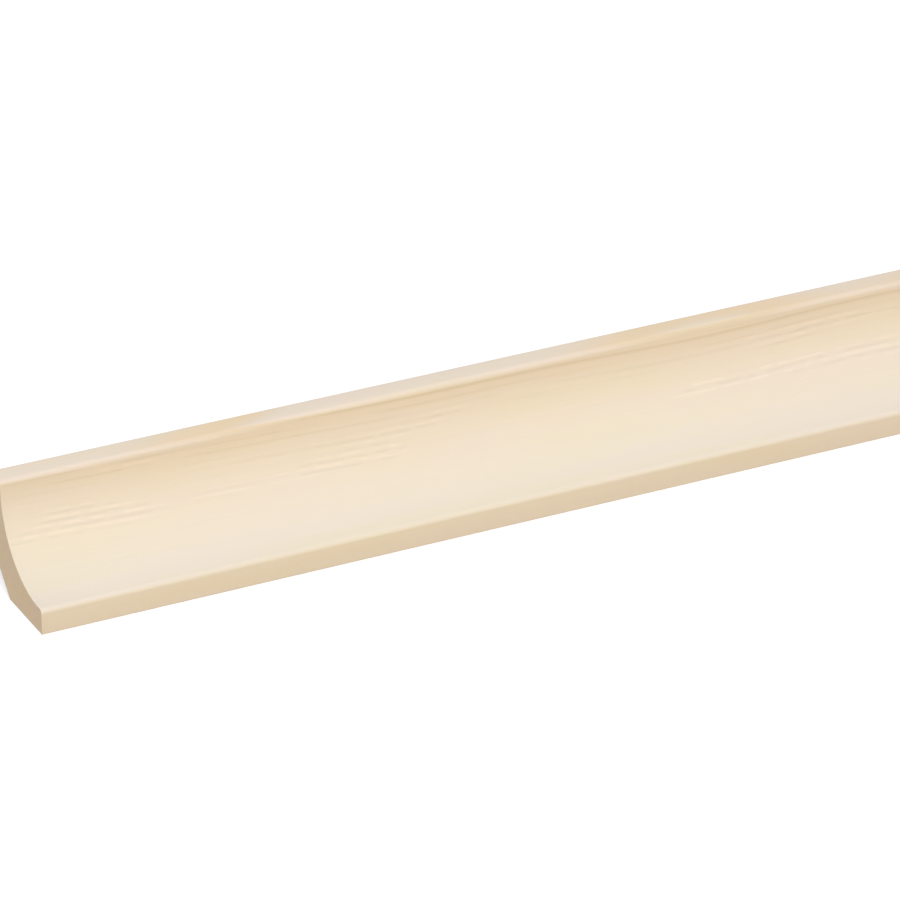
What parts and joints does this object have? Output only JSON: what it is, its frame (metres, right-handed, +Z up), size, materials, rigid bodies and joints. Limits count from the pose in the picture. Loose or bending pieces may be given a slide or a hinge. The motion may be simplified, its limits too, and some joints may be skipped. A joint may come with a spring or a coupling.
{
  "type": "cove moulding",
  "caption": "Planed softwood trim strip with a quarter-round hollow face between narrow flat lips and a bevelled hidden corner, for finishing an inside corner.",
  "frame": {"origin": "on the floor under the base, halfway along the strip and halfway through its depth", "axes": "+X along the strip, +Y towards the wall behind it, +Z up from the base that lies flat"},
  "size_m": [0.9, 0.028, 0.028],
  "materials": {
    "pine": "matte"
  },
  "bodies": {
    "root": {"cove_moulding": "pine"}
  },
  "joints": []
}
